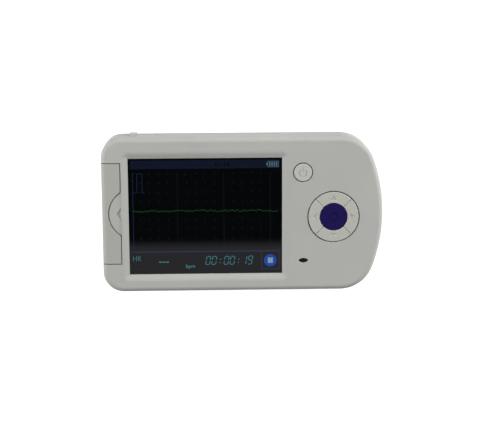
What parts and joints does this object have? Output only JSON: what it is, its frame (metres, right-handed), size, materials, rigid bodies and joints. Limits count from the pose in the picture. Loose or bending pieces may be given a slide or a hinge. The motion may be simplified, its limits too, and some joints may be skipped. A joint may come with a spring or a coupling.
{
  "type": "home ecg monitor",
  "caption": "Flat handheld heart monitor with a wide landscape screen, a ring of direction keys round a blue centre key, a power key, a sliding battery door and a port flap.",
  "frame": {"origin": "middle of the flat back face, in the body's length and width", "axes": "+X along the body from the battery end to the keys, +Y across it towards the port flap, +Z out of the screen"},
  "size_m": [0.1296, 0.0734, 0.0203],
  "materials": {
    "case_plastic": "fine moulded grain, warm light grey",
    "door_plastic": "fine moulded grain, slightly warmer grey",
    "key_plastic": "satin moulded keys",
    "ok_plastic": "satin deep blue",
    "flap_rubber": "soft matt rubber",
    "window_lens": "clear hard-coated window",
    "display_glass": "dark display",
    "light_guide": "white light guide",
    "inner_plastic": "plain moulded",
    "flex_film": "amber film",
    "socket_plastic": "plain moulded",
    "circuit_board": "green solder mask",
    "tinned_steel": "tinned sheet",
    "chip_black": "moulded epoxy",
    "ceramic_parts": "fired ceramic",
    "keypad_rubber": "silicone",
    "switch_black": "moulded",
    "black_foam": "closed foam",
    "black_mesh": "woven acoustic mesh",
    "cell_jacket": "shrink sleeve",
    "nickel_contact": "nickel plated",
    "electrode_steel": "brushed stainless",
    "gold_contact": "gold flashed",
    "label_film": "bare matt film",
    "screw_steel": "zinc plated"
  },
  "bodies": {
    "root": {"front_cover": "case_plastic", "rear_cover": "case_plastic", "window_lens": "window_lens", "lens_gasket": "black_foam", "lcd_panel": "display_glass", "lcd_backlight": "light_guide", "display_carrier": "inner_plastic", "display_ribbon": "flex_film", "ribbon_socket": "socket_plastic", "main_board": "circuit_board", "signal_shield": "tinned_steel", "processor_chip": "chip_black", "memory_chip": "chip_black", "clock_crystal": "tinned_steel", "small_components": "ceramic_parts", "data_port": "tinned_steel", "keypad_mat": "keypad_rubber", "key_switches": "switch_black", "sounder": "switch_black", "sounder_seal": "black_foam", "sound_mesh": "black_mesh", "battery_front": "cell_jacket", "battery_rear": "cell_jacket", "battery_springs": "nickel_contact", "battery_plates": "nickel_contact", "palm_electrode": "electrode_steel", "index_electrode": "electrode_steel", "middle_electrode": "electrode_steel", "electrode_springs": "gold_contact", "blank_label": "label_film", "case_screws": "screw_steel", "board_screws": "screw_steel"},
    "power_button": {"power_key": "key_plastic", "power_plunger": "keypad_rubber", "power_actuator": "switch_black"},
    "ok_button": {"ok_key": "ok_plastic", "ok_plunger": "keypad_rubber", "ok_actuator": "switch_black"},
    "up_button": {"up_key": "key_plastic", "up_plunger": "keypad_rubber", "up_actuator": "switch_black"},
    "left_button": {"left_key": "key_plastic", "left_plunger": "keypad_rubber", "left_actuator": "switch_black"},
    "down_button": {"down_key": "key_plastic", "down_plunger": "keypad_rubber", "down_actuator": "switch_black"},
    "right_button": {"right_key": "key_plastic", "right_plunger": "keypad_rubber", "right_actuator": "switch_black"},
    "door": {"battery_door": "door_plastic"},
    "flap": {"port_flap": "flap_rubber"}
  },
  "joints": [
    {"name": "power_press", "type": "slide", "parent": "root", "child": "power_button", "axis": [0, 0, -1], "range_m": [0, 0.0005], "stiffness_N_per_m": 400, "springref_m": -0.002},
    {"name": "ok_press", "type": "slide", "parent": "root", "child": "ok_button", "axis": [0, 0, -1], "range_m": [0, 0.0005], "stiffness_N_per_m": 400, "springref_m": -0.002},
    {"name": "up_press", "type": "slide", "parent": "root", "child": "up_button", "axis": [0, 0, -1], "range_m": [0, 0.0005], "stiffness_N_per_m": 400, "springref_m": -0.002},
    {"name": "left_press", "type": "slide", "parent": "root", "child": "left_button", "axis": [0, 0, -1], "range_m": [0, 0.0005], "stiffness_N_per_m": 400, "springref_m": -0.002},
    {"name": "down_press", "type": "slide", "parent": "root", "child": "down_button", "axis": [0, 0, -1], "range_m": [0, 0.0005], "stiffness_N_per_m": 400, "springref_m": -0.002},
    {"name": "right_press", "type": "slide", "parent": "root", "child": "right_button", "axis": [0, 0, -1], "range_m": [0, 0.0005], "stiffness_N_per_m": 400, "springref_m": -0.002},
    {"name": "door_slide", "type": "slide", "parent": "root", "child": "door", "axis": [-1, 0, 0], "range_m": [0, 0.024]},
    {"name": "flap_swing", "type": "hinge", "parent": "root", "child": "flap", "pos_m": [-0.04, 0.03575, 0.01105], "axis": [0, 0, -1], "range_deg": [0, 95]}
  ]
}
